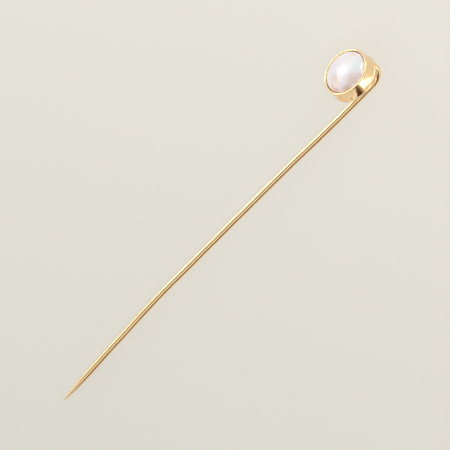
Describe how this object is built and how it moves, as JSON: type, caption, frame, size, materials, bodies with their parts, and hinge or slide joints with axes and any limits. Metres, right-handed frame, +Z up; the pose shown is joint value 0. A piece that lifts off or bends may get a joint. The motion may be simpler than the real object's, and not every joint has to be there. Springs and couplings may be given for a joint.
{
  "type": "stick pin",
  "caption": "Stick pin with a half pearl in a round gold bezel cup on a long pointed gold wire, lying on its side as it rests on a table.",
  "frame": {"origin": "on the table that the pin lies on, under the middle of the pin's box", "axes": "+X from the point to the head, +Z up from the table, +Y to the side that the pearl leans to"},
  "size_m": [0.0635, 0.0074, 0.0065],
  "materials": {
    "yellow_gold": "polished",
    "pearl": "lustrous nacre"
  },
  "bodies": {
    "root": {"setting_and_stem": "yellow_gold", "pearl": "pearl"}
  },
  "joints": []
}
